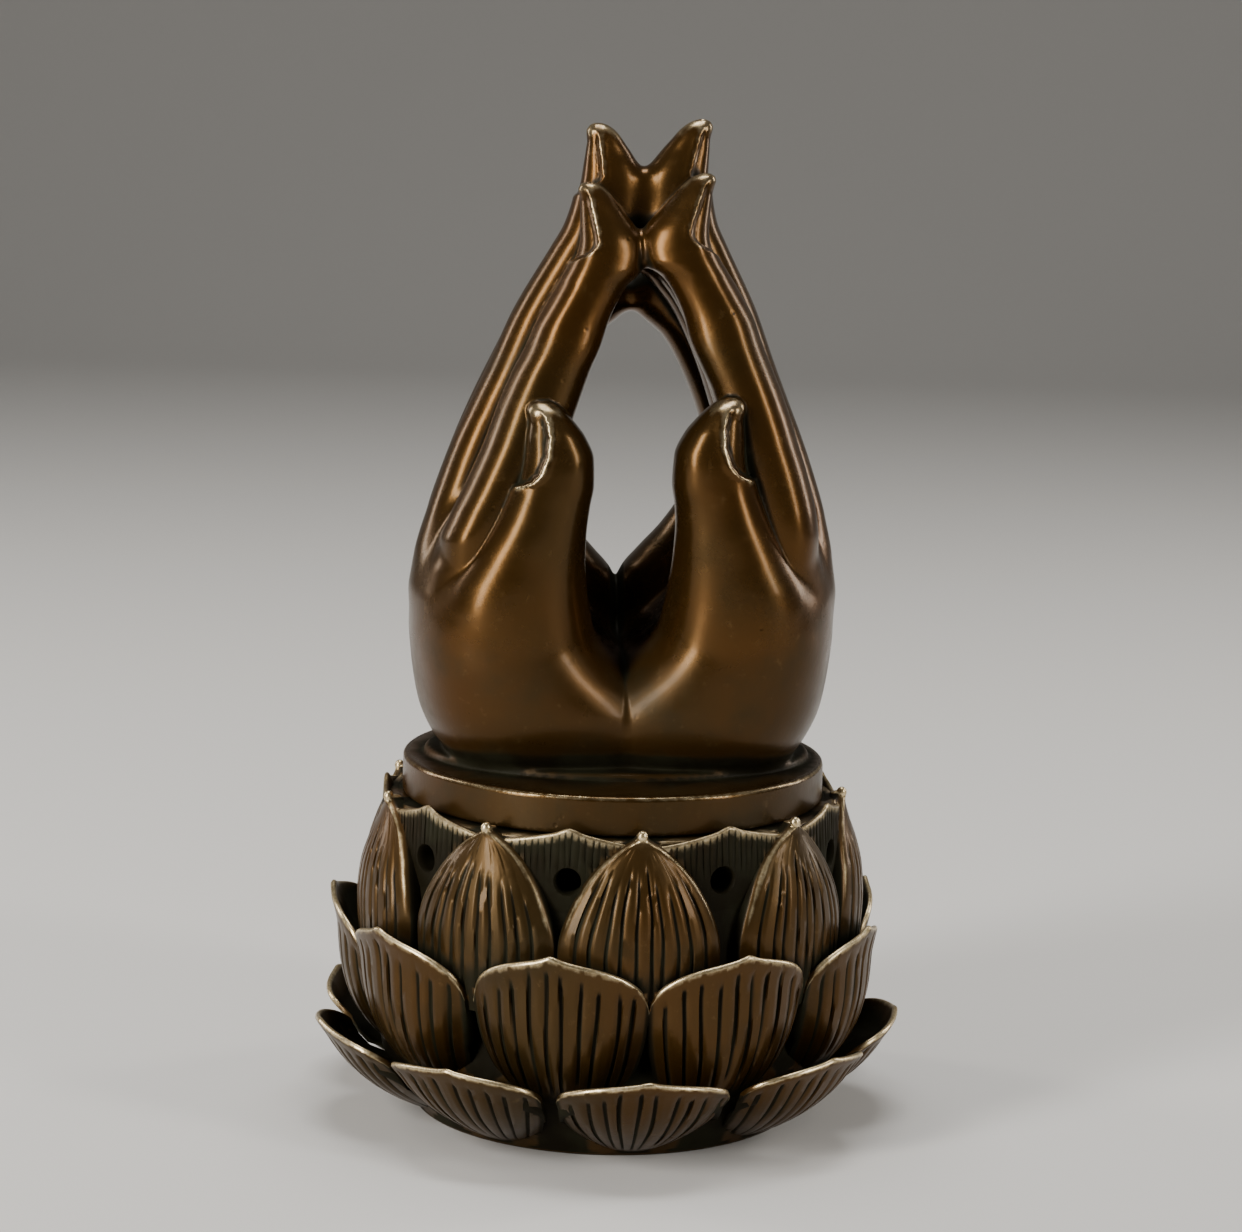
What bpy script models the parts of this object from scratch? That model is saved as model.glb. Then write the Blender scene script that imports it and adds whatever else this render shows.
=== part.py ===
"""Hand incense burner: a lotus bowl and a lid with a pair of hands, two castings.

Metres, +Z up. The origin is the centre of the underside of the bowl's foot.
The thumbs face -Y. The lid only rests in the bowl's mouth, on a ledge.
"""

import math

import bmesh
import bpy
from mathutils import Matrix, Vector

MM = 0.001

# ---- driving dimensions, millimetres and degrees --------------------------
PETALS = 9                      # petals in each row
PITCH = 360.0 / PETALS
FOOT_R = 31.0
RIM_R = 36.4                    # outside of the mouth ring
MOUTH_R = 35.0                  # inside of the mouth ring
LEDGE_R = 30.0                  # inner edge of the ledge
LEDGE_Z = 51.7
RIM_Z = 52.3                    # low points of the mouth ring
CAVITY_R = 32.5
FLOOR_Z = 5.0                   # inside floor of the bowl
VENT_D = 4.0
VENT_Z = 45.4
VENT_AZ = -10.0

GAP = 0.3
PLATE_R = 34.3
PLATE_Z0 = LEDGE_Z + GAP        # underside of the lid's plate
PLATE_Z1 = 58.2
HAND_TURN = 4.0                 # the hands are turned a little on the plate
HAND_SHIFT = 0.6

# rows of petals: centre azimuth (0 = front), lowest edge, junction and tip
# heights, outward profile as (z, r), half angle, edge drop, thickness
ROW_LOW = dict(az=9.0, zb=1.2, zj=13.2, zt=17.0, half=19.0, drop=5.2, t=2.2,
               prof=((0, 30.0), (1.2, 32.2), (4, 37.0), (8, 41.6), (12, 44.8), (15, 46.8), (17.2, 48.0)))
ROW_MID = dict(az=-11.0, zb=12.0, zj=26.6, zt=34.6, half=20.4, drop=3.3, t=2.2,
               prof=((11, 37.0), (13, 39.0), (17, 41.4), (22, 43.0), (28, 43.6), (32, 44.1), (35, 44.9)))
ROW_TALL = dict(az=10.0, zb=26.0, zj=26.0, zt=52.6, half=17.6, drop=2.6, t=2.4,
                prof=((25, 38.0), (28, 39.6), (33, 40.9), (38, 41.3), (43, 40.9), (48, 39.4), (51, 38.2), (53, 38.0)))

# finger skeletons of the +X hand: x, y, z, radius
INDEX = ((20.0, -10.5, 66, 7.5), (21.4, -11.4, 76, 7.5), (23.6, -12.9, 85, 7.2), (24.2, -14.4, 93, 6.9), (22.4, -14.8, 102, 6.5), (19.2, -14.4, 111, 6.3),
         (15.6, -13.4, 120.5, 6.1), (11.6, -11.9, 130, 6.0), (8.0, -10.2, 137, 5.9), (5.8, -9.2, 142, 5.4),
         (5.9, -8.7, 145.5, 4.1), (7.2, -8.4, 148.6, 2.4), (8.3, -8.2, 151.0, 0.9))
MIDDLE = ((24.8, -4.0, 66, 7.5), (26.0, -4.4, 76, 7.6), (26.8, -4.9, 85, 7.3), (26.4, -5.2, 93, 7.1), (24.4, -5.2, 102, 6.8), (21.4, -5.0, 111, 6.5),
          (17.6, -4.6, 120.5, 6.2), (13.2, -4.0, 130, 6.0), (9.0, -3.2, 138.5, 5.9), (6.2, -2.5, 145.5, 5.6),
          (5.2, -2.0, 151, 4.7), (6.0, -1.6, 155, 3.1), (7.0, -1.4, 158, 1.8), (7.8, -1.2, 160.2, 0.8))
RING = ((24.6, 4.0, 66, 7.5), (25.7, 4.5, 76, 7.5), (26.4, 5.0, 85, 7.3), (25.8, 5.4, 93, 7.1), (23.8, 5.2, 102, 6.7), (20.7, 5.0, 111, 6.3),
        (16.8, 4.8, 120.5, 6.0), (12.3, 4.5, 130, 5.8), (8.2, 4.3, 138, 5.5), (6.2, 4.3, 143.4, 4.2),
        (7.2, 4.4, 147, 2.2), (8.2, 4.5, 149.3, 0.9))
LITTLE = ((19.4, 10.6, 66, 7.2), (20.6, 11.6, 76, 7.2), (22.4, 13.2, 85, 7.0), (22.6, 14.5, 93, 6.7), (20.8, 14.2, 102, 6.2), (17.6, 13.4, 111, 5.8),
          (13.6, 12.4, 120.5, 5.4), (9.2, 11.4, 129, 5.1), (6.0, 10.8, 134.6, 4.2), (6.6, 10.6, 138.2, 2.2),
          (7.4, 10.5, 140.4, 0.9))
THUMB = ((17.0, -9.0, 74, 12.6), (16.6, -13.0, 82, 11.2), (15.8, -16.0, 91, 9.0), (14.4, -17.8, 99.5, 7.6),
         (13.0, -18.6, 107, 6.7), (12.9, -18.8, 112, 5.4), (13.9, -18.6, 115.6, 3.3), (14.7, -18.4, 118.4, 1.1))
# outline of the palms' closed lower body: z, half width in x, half depth in y
PALMS = ((58.0, 31.2, 21.4), (62.0, 32.0, 22.0), (67.0, 33.0, 22.8), (72.0, 33.6, 23.2), (78.0, 34.2, 23.4),
         (84.0, 34.2, 22.8), (89.0, 33.4, 21.0), (92.0, 31.0, 18.0), (93.5, 26.0, 14.0))


def lean(z):
    """Sideways lean of the hands towards their tips."""
    return HAND_SHIFT + (2.6 * ((z - 100.0) / 60.0) ** 2 if z > 100.0 else 0.0)


# ---- small tools ------------------------------------------------------------
for old in list(bpy.data.objects):
    bpy.data.objects.remove(old, do_unlink=True)

scene = bpy.context.scene
model = bpy.data.collections.new("hand_incense_burner")
cutters = bpy.data.collections.new("cutters")
scene.collection.children.link(model)
scene.collection.children.link(cutters)


def material(name, colour, rough, metal):
    m = bpy.data.materials.new(name)
    m.use_nodes = True
    p = m.node_tree.nodes["Principled BSDF"]
    p.inputs["Base Color"].default_value = (*colour, 1.0)
    p.inputs["Roughness"].default_value = rough
    p.inputs["Metallic"].default_value = metal
    return m


def new_object(name, mesh, where):
    ob = bpy.data.objects.new(name, mesh)
    where.objects.link(ob)
    return ob


def mesh_from_bmesh(bm, name):
    me = bpy.data.meshes.new(name)
    bm.to_mesh(me)
    bm.free()
    return me


def evaluated_mesh(ob):
    bpy.context.view_layer.update()
    return bpy.data.meshes.new_from_object(ob.evaluated_get(bpy.context.evaluated_depsgraph_get()))


def bake(ob):
    """Apply the object's modifiers to its own mesh."""
    me = evaluated_mesh(ob)
    ob.modifiers.clear()
    ob.data = me
    return ob


def outward(ob):
    bm = bmesh.new()
    bm.from_mesh(ob.data)
    bmesh.ops.recalc_face_normals(bm, faces=bm.faces)
    bm.to_mesh(ob.data)
    bm.free()


def lerp(table, z):
    """Smoothly read a table of (z, value...) rows."""
    if z <= table[0][0]:
        return table[0][1:]
    for a, b in zip(table, table[1:]):
        if z <= b[0]:
            t = (z - a[0]) / (b[0] - a[0])
            return tuple(p + (q - p) * t for p, q in zip(a[1:], b[1:]))
    return table[-1][1:]


def catmull(rows, steps):
    """Points of a smooth curve through the rows."""
    out = []
    n = len(rows)
    for i in range(n - 1):
        p0, p1, p2, p3 = rows[max(i - 1, 0)], rows[i], rows[i + 1], rows[min(i + 2, n - 1)]
        for s in range(steps):
            t = s / steps
            out.append(tuple(
                0.5 * (2 * b + (c - a) * t + (2 * a - 5 * b + 4 * c - d) * t * t + (3 * b - a - 3 * c + d) * t ** 3)
                for a, b, c, d in zip(p0, p1, p2, p3)))
    out.append(rows[-1])
    return out


def turned(name, profile, steps, where):
    """A solid of revolution from an (r, z) profile that runs down its outer side."""
    bm = bmesh.new()
    verts = [bm.verts.new((r * MM, 0.0, z * MM)) for r, z in profile]
    for a, b in zip(verts, verts[1:]):
        bm.edges.new((a, b))
    ob = new_object(name, mesh_from_bmesh(bm, name), where)
    s = ob.modifiers.new("turn", "SCREW")
    s.steps = s.render_steps = steps
    s.use_merge_vertices = True
    s.merge_threshold = 0.00001
    s.use_normal_calculate = True
    bake(ob)
    bm = bmesh.new()
    bm.from_mesh(ob.data)
    bmesh.ops.remove_doubles(bm, verts=bm.verts, dist=0.00001)
    bmesh.ops.recalc_face_normals(bm, faces=bm.faces)
    bm.to_mesh(ob.data)
    bm.free()
    return ob


def boolean(ob, other, how):
    b = ob.modifiers.new(how.lower(), "BOOLEAN")
    b.operation = how
    b.solver = "MANIFOLD"       # EXACT drops the turned core here; both meshes are closed
    b.object = other
    bake(ob)


def keep_largest(ob):
    """Fill small pockets sealed in by a union: only the outer surface stays."""
    bm = bmesh.new()
    bm.from_mesh(ob.data)
    left, islands = set(bm.verts), []
    while left:
        stack, island = [left.pop()], []
        while stack:
            v = stack.pop()
            island.append(v)
            for e in v.link_edges:
                w = e.other_vert(v)
                if w in left:
                    left.remove(w)
                    stack.append(w)
        islands.append(island)
    islands.sort(key=len)
    for island in islands[:-1]:
        bmesh.ops.delete(bm, geom=island, context="VERTS")
    bm.to_mesh(ob.data)
    bm.free()


def drop(ob):
    bpy.data.objects.remove(ob, do_unlink=True)


def as_cutter(ob):
    ob.hide_render = True
    ob.display_type = "WIRE"
    return ob


# ---- lotus bowl -------------------------------------------------------------
core = turned("lotus_bowl", (
    # inside: floor centre out to the wall, up to the ledge, out to the mouth ring
    (0.0, FLOOR_Z),
    (CAVITY_R - 10.0, FLOOR_Z),
    (CAVITY_R - 3.0, FLOOR_Z + 3.0),
    (CAVITY_R, FLOOR_Z + 10.0),
    (CAVITY_R, 40.0),
    (LEDGE_R, 48.4),
    (LEDGE_R, LEDGE_Z),
    (MOUTH_R, LEDGE_Z),
    (MOUTH_R, RIM_Z),
    # outside: down past the seats of the petals to the foot
    (RIM_R, RIM_Z),
    (37.0, 47.0),
    (38.4, 40.0),
    (38.6, 33.5),
    (40.6, 29.5),
    (40.9, 23.0),
    (40.4, 17.0),
    (43.6, 13.4),
    (42.0, 9.6),
    (38.0, 5.2),
    (34.0, 2.2),
    (FOOT_R, 0.0),
    (0.0, 0.0),
), 27, model)


def petal(row, index, wide):
    """One petal as a bulged sheet, thickened inwards."""
    nu, nv = (6, 2) if wide else (4, 3)
    bm = bmesh.new()
    grid = []
    az0 = row["az"] + PITCH * index
    for i in range(nu + 1):
        u = -1.0 + 2.0 * i / nu
        line = []
        for j in range(nv + 1):
            v = j / nv
            if wide:
                # a scalloped sheet whose rim rises to a tip in the middle
                rise = (1.0 - abs(u)) ** 0.9 * 0.62 + 0.38 * math.exp(-(u / 0.22) ** 2)
                top = row["zj"] + (row["zt"] - row["zj"]) * min(rise, 1.0)
                z = row["zb"] + (top - row["zb"]) * v
                a = u * row["half"]
                bulge = row["drop"] * abs(u) ** 2.4
            else:
                # a tall leaf that narrows to a tip
                z = row["zb"] + (row["zt"] - row["zb"]) * v ** 0.85
                s = max(0.0, (z - 36.0) / (row["zt"] - 36.0))
                w = (1.0 - s ** 1.35) if s > 0 else 1.0 - 0.05 * ((36.0 - z) / 10.0) ** 2
                a = u * row["half"] * max(w, 0.035)
                bulge = row["drop"] * abs(u) ** 2.2 * min(1.0, w + 0.1)
            r = lerp(row["prof"], z)[0] - bulge
            t = math.radians(az0 + a)
            line.append(bm.verts.new((r * MM * math.sin(t), -r * MM * math.cos(t), z * MM)))
        grid.append(line)
    for i in range(nu):
        for j in range(nv):
            bm.faces.new((grid[i][j], grid[i + 1][j], grid[i + 1][j + 1], grid[i][j + 1]))
    ob = new_object("petal", mesh_from_bmesh(bm, "petal"), cutters)
    s = ob.modifiers.new("thickness", "SOLIDIFY")
    s.thickness = row["t"] * MM
    s.offset = -1.0
    bake(ob)
    outward(ob)
    return as_cutter(ob)


for row, wide in ((ROW_TALL, False), (ROW_MID, True), (ROW_LOW, True)):
    for k in range(PETALS):
        leaf = petal(row, k, wide)
        boolean(core, leaf, "UNION")
        drop(leaf)

# low points of the mouth ring lie between the tall petals' tips: one low, wide
# leaf stands between each two
MOUTH_LEAF = dict(az=VENT_AZ, zb=48.0, zj=52.1, zt=53.9, half=19.0, drop=0.2, t=1.5,
                  prof=((47, 36.9), (50, 36.7), (54, 36.7)))
for k in range(PETALS):
    leaf = petal(MOUTH_LEAF, k, True)
    boolean(core, leaf, "UNION")
    drop(leaf)

for k in range(PETALS):
    az = math.radians(VENT_AZ + PITCH * k)
    direction = Vector((math.sin(az), -math.cos(az), 0.0))
    bm = bmesh.new()
    bmesh.ops.create_cone(bm, cap_ends=True, segments=8, radius1=VENT_D / 2 * MM, radius2=VENT_D / 2 * MM,
                          depth=16.0 * MM,
                          matrix=Matrix.Translation(direction * 36.0 * MM + Vector((0, 0, VENT_Z * MM)))
                          @ direction.to_track_quat("Z", "Y").to_matrix().to_4x4())
    vent = as_cutter(new_object("vent", mesh_from_bmesh(bm, "vent"), cutters))
    boolean(core, vent, "DIFFERENCE")
    drop(vent)

keep_largest(core)
core.data.materials.clear()
core.data.materials.append(material("bowl_bronze", (0.085, 0.05, 0.018), 0.42, 1.0))


# ---- lid: plate and hands ---------------------------------------------------
def tube(rows, mirror):
    """A round tube along a smooth curve, its radius following the rows."""
    pts = catmull(rows, 3)
    cu = bpy.data.curves.new("finger", "CURVE")
    cu.dimensions = "3D"
    cu.bevel_depth = 1.0 * MM
    cu.bevel_resolution = 3
    cu.use_fill_caps = True
    sp = cu.splines.new("POLY")
    sp.points.add(len(pts) - 1)
    for p, (x, y, z, r) in zip(sp.points, pts):
        p.co = (mirror * x * MM, y * MM, z * MM, 1.0)
        p.radius = r
    ob = new_object("finger", cu, cutters)
    me = evaluated_mesh(ob)
    drop(ob)
    bm = bmesh.new()
    bm.from_mesh(me)
    bmesh.ops.remove_doubles(bm, verts=bm.verts, dist=0.00001)
    bmesh.ops.recalc_face_normals(bm, faces=bm.faces)
    bm.to_mesh(me)
    bm.free()
    return me


def ball(bm, x, y, z, rx, ry, rz):
    bmesh.ops.create_uvsphere(bm, u_segments=20, v_segments=12, radius=MM,
                              matrix=Matrix.Translation((x * MM, y * MM, z * MM))
                              @ Matrix.Diagonal((rx, ry, rz, 1.0)))


bm = bmesh.new()
for side in (1.0, -1.0):
    for rows in (INDEX, MIDDLE, RING, LITTLE, THUMB):
        bm.from_mesh(tube(rows, side))
    ball(bm, side * INDEX[0][0], INDEX[0][1], INDEX[0][2], 7.0, 7.0, 7.0)
    ball(bm, side * 17.0, -9.0, 74.0, 12.6, 12.6, 12.6)
    ball(bm, side * 14.9, -18.3, 117.6, 1.6, 1.6, 1.6)

# closed lower body of the palms: an oval outline lofted upwards
outline = catmull(PALMS, 2)
rings = []
for z, a, b in outline:
    ring = []
    for i in range(48):
        t = 2 * math.pi * i / 48
        c, s = math.cos(t), math.sin(t)
        ring.append(bm.verts.new((a * MM * math.copysign(abs(c) ** 0.9, c), b * MM * math.copysign(abs(s) ** 0.9, s),
                                  z * MM)))
    rings.append(ring)
for lo, hi in zip(rings, rings[1:]):
    for i in range(48):
        k = (i + 1) % 48
        bm.faces.new((lo[i], lo[k], hi[k], hi[i]))
bm.faces.new(rings[0][::-1])
bm.faces.new(rings[-1])
hands = new_object("hands", mesh_from_bmesh(bm, "hands"), cutters)
m = hands.modifiers.new("join", "REMESH")
m.mode = "VOXEL"
m.voxel_size = 0.0009
bake(hands)

# the hollow between the palms: open at the front down to the heels, and at the
# back down to the edges of the palms
bm = bmesh.new()
loops = []
N = 40
for yi in range(15):
    y = -34.0 + 68.0 * yi / 14
    front = max(0.0, min(1.0, (y + 22.0) / 12.0))
    back = max(0.0, min(1.0, (22.0 - y) / 12.0))
    deep = min(front, back)
    z0 = 70.5 + max(0.0, min(1.0, (y + 10.0) / 24.0)) ** 1.3 * 16.5 + 1.5 * deep
    w = 6.6 + 8.0 * (deep * deep * (3 - 2 * deep)) + (3.5 if y > 8 else 0.0) * (1 - deep)
    ring = []
    for i in range(N):
        t = 2 * math.pi * i / N
        c, s = math.cos(t), math.sin(t)
        if s < 0:
            zz = 96.0 + (96.0 - z0) * s
            ww = w * (1.0 - abs(s) ** 1.7)
            xx = math.copysign(ww, c)
        else:
            zz = 96.0 + 6.0 * s
            xx = w * math.copysign(math.sqrt(max(0.0, 1 - s ** 4)), c)
        ring.append(bm.verts.new((xx * MM, y * MM, zz * MM)))
    loops.append(ring)
for a, b in zip(loops, loops[1:]):
    for i in range(N):
        k = (i + 1) % N
        bm.faces.new((a[i], a[k], b[k], b[i]))
bm.faces.new(loops[0][::-1])
bm.faces.new(loops[-1])
bmesh.ops.remove_doubles(bm, verts=bm.verts, dist=0.00001)
bmesh.ops.recalc_face_normals(bm, faces=bm.faces)
hollow = as_cutter(new_object("hollow", mesh_from_bmesh(bm, "hollow"), cutters))
boolean(hands, hollow, "DIFFERENCE")

# the seam where the heels of the two palms meet, front and back
for y, z0, z1 in ((-23.4, 57.0, 72.5), (23.2, 57.0, 88.5)):
    bm = bmesh.new()
    bmesh.ops.create_cone(bm, cap_ends=True, segments=4, radius1=1.5 * MM, radius2=1.5 * MM, depth=(z1 - z0) * MM,
                          matrix=Matrix.Translation((0, y * MM, (z0 + z1) / 2 * MM)))
    seam = as_cutter(new_object("seam", mesh_from_bmesh(bm, "seam"), cutters))
    boolean(hands, seam, "DIFFERENCE")
    drop(seam)

m = hands.modifiers.new("join", "REMESH")
m.mode = "VOXEL"
m.voxel_size = 0.0008
m = hands.modifiers.new("soften", "SMOOTH")
m.factor = 0.5
m.iterations = 3
bake(hands)
m = hands.modifiers.new("thin", "DECIMATE")
m.ratio = min(1.0, 5200.0 / max(1, sum(len(p.vertices) - 2 for p in hands.data.polygons)))
bake(hands)

# cut the underside level inside the plate, then turn and lean the hands
bm = bmesh.new()
bm.from_mesh(hands.data)
turn = math.radians(HAND_TURN)
for v in bm.verts:
    x, y, z = (c / MM for c in v.co)
    x, y = x * math.cos(turn) - y * math.sin(turn), x * math.sin(turn) + y * math.cos(turn)
    v.co = Vector(((x + lean(z)) * MM, y * MM, (z - 1.2 * max(0.0, (62.0 - z) / 4.0)) * MM))
bmesh.ops.recalc_face_normals(bm, faces=bm.faces)
bm.to_mesh(hands.data)
bm.free()

lid = turned("hands_lid", (
    (0.0, PLATE_Z1),
    (PLATE_R - 0.7, PLATE_Z1),
    (PLATE_R - 0.2, PLATE_Z1 - 0.25),
    (PLATE_R, PLATE_Z1 - 0.8),
    (PLATE_R, PLATE_Z0 + 0.6),
    (PLATE_R - 0.5, PLATE_Z0),
    (0.0, PLATE_Z0),
), 72, model)
boolean(lid, hands, "UNION")
drop(hands)
drop(hollow)
lid.data.materials.clear()
lid.data.materials.append(material("lid_bronze", (0.09, 0.052, 0.018), 0.36, 1.0))

for ob in (core, lid):
    ob.data.shade_smooth()
    ob.data.set_sharp_from_angle(angle=math.radians(40))
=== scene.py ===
import math

import bmesh
import bpy
import numpy as np
from mathutils import Matrix, Vector
from mathutils.bvhtree import BVHTree
from mathutils.kdtree import KDTree


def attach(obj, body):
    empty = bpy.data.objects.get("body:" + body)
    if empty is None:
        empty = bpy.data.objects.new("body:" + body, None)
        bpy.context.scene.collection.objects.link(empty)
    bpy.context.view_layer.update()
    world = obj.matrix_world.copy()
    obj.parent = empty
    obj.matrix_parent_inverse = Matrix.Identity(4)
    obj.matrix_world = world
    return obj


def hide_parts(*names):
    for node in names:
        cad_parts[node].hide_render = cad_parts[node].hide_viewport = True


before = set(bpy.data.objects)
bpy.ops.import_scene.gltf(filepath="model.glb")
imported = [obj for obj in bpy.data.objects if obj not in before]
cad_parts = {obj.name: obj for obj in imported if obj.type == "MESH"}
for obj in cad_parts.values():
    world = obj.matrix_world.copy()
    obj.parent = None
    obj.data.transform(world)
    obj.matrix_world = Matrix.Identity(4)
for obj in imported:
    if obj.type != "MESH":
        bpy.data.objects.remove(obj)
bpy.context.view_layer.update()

MM = 0.001

# =============================================================================
# Hands and plate: a smooth implicit form, meshed finely. Millimetres.
# =============================================================================
HAND_TURN = math.radians(4.0)
PLATE_R, PLATE_Z0, PLATE_Z1 = 34.3, 52.0, 58.2
PLINTH_Z = 59.4


def dense(rows, step=0.05):
    """A table of (z, values...) read as a smooth monotone curve, resampled finely."""
    rows = np.array(sorted(rows), float)
    z = rows[:, 0]
    grid = np.arange(z[0], z[-1] + step, step)
    out = [grid]
    h = np.diff(z)
    for c in range(1, rows.shape[1]):
        y = rows[:, c]
        d = np.diff(y) / h
        m = np.zeros(len(z))
        m[0], m[-1] = d[0], d[-1]
        for i in range(1, len(z) - 1):
            if d[i - 1] * d[i] > 0:
                w1, w2 = 2 * h[i] + h[i - 1], h[i] + 2 * h[i - 1]
                m[i] = (w1 + w2) / (w1 / d[i - 1] + w2 / d[i])
        k = np.clip(np.searchsorted(z, grid, side="right") - 1, 0, len(z) - 2)
        t = np.clip((grid - z[k]) / h[k], 0, 1)
        out.append((2 * t**3 - 3 * t**2 + 1) * y[k] + (t**3 - 2 * t**2 + t) * h[k] * m[k]
                   + (-2 * t**3 + 3 * t**2) * y[k + 1] + (t**3 - t**2) * h[k] * m[k + 1])
    return out


def side_table(inner_outer, depth):
    """Rows of (z, inner x, outer x) and (z, centre y, half width y) as one column."""
    io = dense(inner_outer)
    dy = dense(depth)
    z = io[0]
    cy = np.interp(z, dy[0], dy[1])
    b = np.interp(z, dy[0], dy[2])
    return dict(z=z, cx=(io[1] + io[2]) / 2, a=np.maximum((io[2] - io[1]) / 2, 0.05), cy=cy, b=np.maximum(b, 0.05))


# inner and outer edge of each finger, as (z, inner, outer), then its depth, as
# (z, centre y, half width y); the two index fingers differ a little
INDEX_Y = (
    (152.0, -8.5, 0.8), (151.7, -8.5, 1.3), (150.7, -8.5, 2.1), (149, -8.6, 2.9), (147, -8.8, 3.5), (144, -9.2, 4.3),
    (141, -9.6, 4.8), (137, -10.3, 5.1), (130, -11.6, 5.4), (122, -12.9, 5.8), (115, -13.8, 6.0), (108, -14.3, 6.1),
    (99, -14.6, 6.2), (92, -14.2, 6.1), (84, -12.8, 5.6), (74, -11.0, 5.0))
INDEX_R = side_table(
    ((152.0, 8.3, 9.9), (151.7, 7.4, 10.5), (150.7, 6.0, 10.9), (149, 4.5, 11.0), (147, 2.8, 11.0), (145, 1.1, 11.0),
     (143, -0.3, 11.1), (141, -0.8, 11.6), (138.8, -0.3, 12.7), (137.4, 1.3, 13.6), (136, 3.4, 14.5), (134, 5.1, 15.8), (130, 7.1, 18.2),
     (126, 8.4, 19.8), (122, 10.4, 21.6), (118.5, 12.2, 23.2), (115, 13.3, 24.6), (111, 14.3, 26.0), (105, 15.5, 28.0),
     (99, 16.8, 29.5), (95, 17.8, 30.0), (91, 18.6, 29.8), (87, 19.2, 28.8), (82, 19.0, 26.6), (74, 17.0, 23.0)),
    INDEX_Y)
INDEX_L = side_table(
    ((152.0, 8.3, 9.9), (151.7, 7.4, 10.5), (150.7, 6.0, 10.9), (149, 4.4, 10.9), (147, 2.6, 10.8), (145, 0.9, 10.7),
     (143, -0.4, 10.6), (141, -0.8, 10.9), (138.8, -0.6, 11.7), (137.4, 0.3, 12.3), (136, 1.8, 12.9), (134, 3.0, 13.9), (130, 4.6, 15.9),
     (126, 5.7, 17.4), (122, 7.2, 19.3), (117, 8.7, 21.3), (111, 10.6, 23.3), (105, 13.0, 25.8), (99, 15.6, 28.5),
     (95, 17.3, 29.7), (91, 18.5, 29.7), (87, 19.2, 28.8), (82, 19.0, 26.6), (74, 17.0, 23.0)),
    INDEX_Y)
MIDDLE = side_table(
    ((160.7, 7.6, 8.9), (160.4, 6.7, 9.5), (159.4, 5.2, 10.1), (157.5, 3.6, 10.3), (156, 2.4, 10.4), (154, 1.0, 10.5),
     (152, -0.2, 10.6), (149, -0.8, 11.0), (145, -0.9, 12.0), (141, -0.3, 14.0), (137.5, 1.9, 15.9), (133, 5.6, 18.3),
     (130.5, 7.2, 19.5), (122, 11.0, 22.9), (116, 13.4, 25.5), (110.6, 15.2, 27.8), (105, 17.0, 29.8), (98, 18.9, 32.0),
     (92, 20.2, 33.3), (87, 20.6, 33.2), (82, 20.8, 31.6), (74, 20.0, 28.0)),
    ((160.7, -1.2, 0.8), (160.4, -1.2, 1.3), (159.4, -1.3, 2.1), (157.5, -1.4, 2.8), (156, -1.5, 3.1), (154, -1.6, 3.8),
     (152, -1.7, 4.3), (149, -1.9, 4.7), (145, -2.3, 5.0), (140, -2.8, 5.2), (130, -3.7, 5.4), (120, -4.4, 5.6),
     (108, -4.9, 5.9), (98, -5.0, 6.0), (92, -4.8, 6.0), (84, -4.4, 5.6), (74, -4.0, 5.0)))
RING = side_table(
    ((149.6, 7.2, 8.7), (149.2, 6.6, 9.1), (148, 5.4, 9.6), (146, 3.6, 10.3), (144, 1.6, 11.3), (142, 0.0, 12.4),
     (139.5, -0.6, 13.8), (137, 0.2, 15.0), (134, 3.2, 16.8), (130, 6.6, 18.9), (122, 10.8, 22.6), (116, 13.2, 25.2),
     (110, 15.2, 27.6), (105, 16.8, 29.4), (98, 18.6, 31.6), (92, 19.6, 32.7), (87, 20.0, 32.4), (82, 20.0, 30.6),
     (74, 19.0, 27.0)),
    ((149.6, 4.9, 0.6), (149.2, 4.9, 1.1), (148, 4.8, 2.0), (146, 4.7, 3.0), (144, 4.6, 3.9), (142, 4.6, 4.4),
     (138, 4.6, 4.8), (130, 4.8, 5.1), (122, 5.0, 5.3), (110, 5.3, 5.7), (98, 5.5, 5.9), (92, 5.4, 5.9),
     (84, 5.0, 5.5), (74, 4.4, 5.0)))
LITTLE = side_table(
    ((140.6, 6.8, 8.4), (140.2, 6.2, 8.8), (139, 5.0, 9.4), (137, 3.0, 10.3), (135, 0.8, 11.4), (133, -0.4, 12.6),
     (131, -0.4, 13.7), (129, 1.4, 14.9), (125, 6.0, 17.3), (120, 9.2, 19.9), (114, 12.0, 22.7), (108, 14.2, 25.2),
     (102, 16.2, 27.4), (96, 17.8, 28.9), (90, 18.8, 29.5), (85, 19.0, 28.8), (80, 18.6, 26.6), (74, 17.0, 23.4)),
    ((140.6, 11.2, 0.6), (140.2, 11.2, 1.1), (139, 11.2, 1.9), (137, 11.3, 2.9), (135, 11.4, 3.7), (132, 11.6, 4.3),
     (128, 12.0, 4.5), (118, 13.0, 4.9), (108, 13.9, 5.3), (98, 14.5, 5.6), (90, 14.3, 5.7), (84, 13.6, 5.4),
     (74, 11.6, 5.0)))
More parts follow.
